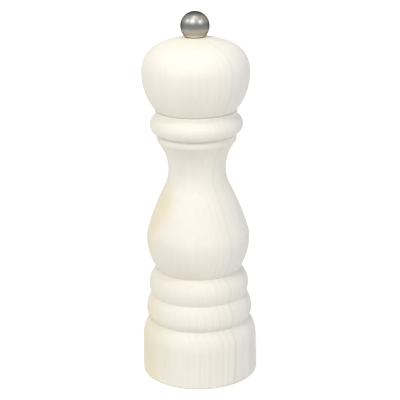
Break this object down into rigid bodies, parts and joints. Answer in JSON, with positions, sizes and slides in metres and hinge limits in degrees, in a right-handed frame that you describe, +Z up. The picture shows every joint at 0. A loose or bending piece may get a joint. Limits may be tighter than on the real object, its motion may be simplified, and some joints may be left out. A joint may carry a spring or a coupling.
{
  "type": "pepper mill",
  "caption": "Turned pale wooden mill with a domed turning head, bead, waist, bulge and ringed base, a steel ball adjusting knob on top and a toothed steel grinder in the foot.",
  "frame": {"origin": "centre of the foot, on the surface that the mill stands on", "axes": "+Z up along the turning axis of the mill and its drive shaft, +X towards one lug of the stator, +Y towards one screw of the bridge plate"},
  "size_m": [0.0678, 0.0678, 0.215],
  "materials": {
    "white_wood": "bleached and lacquered, satin",
    "satin_steel": "satin turned ball",
    "plated_steel": "zinc plated sheet and screws",
    "shaft_steel": "drawn square bar",
    "burr_steel": "hardened, grey phosphate",
    "spring_steel": "bright wire",
    "brass": "machined",
    "nylon": "moulded natural"
  },
  "bodies": {
    "mill_body": {"wooden_body": "white_wood", "stator_burr": "burr_steel", "bridge_plate": "plated_steel", "bridge_screws": "plated_steel", "foot_bush": "brass", "guide_bar": "plated_steel"},
    "guide_set": {"guide_bush": "nylon", "rotor_spring": "spring_steel"},
    "shaft_set": {"drive_shaft": "shaft_steel", "rotor_burr": "burr_steel", "spring_washer": "plated_steel", "rotor_washer": "plated_steel", "rotor_clip": "spring_steel"},
    "head_set": {"wooden_head": "white_wood", "drive_plate": "plated_steel", "drive_plate_screws": "plated_steel", "knob_washer": "plated_steel"},
    "knob": {"knob_shell": "satin_steel", "knob_insert": "brass"}
  },
  "joints": [
    {"name": "head_turn", "type": "hinge", "parent": "mill_body", "child": "guide_set", "pos_m": [0, 0, 0], "axis": [0, 0, 1], "continuous": true},
    {"name": "shaft_travel", "type": "slide", "parent": "guide_set", "child": "shaft_set", "axis": [0, 0, 1], "range_m": [-0.0012, 0.0006], "deforming": ["rotor_spring"]},
    {"name": "head_lift", "type": "slide", "parent": "guide_set", "child": "head_set", "axis": [0, 0, 1], "range_m": [0, 0.08]},
    {"name": "knob_turn", "type": "hinge", "parent": "head_set", "child": "knob", "pos_m": [0, 0, 0], "axis": [0, 0, 1], "range_deg": [-270, 540]}
  ],
  "couplings": [
    {"joint": "knob_turn", "follows": "shaft_travel", "rad_per_m": -7853.9}
  ]
}
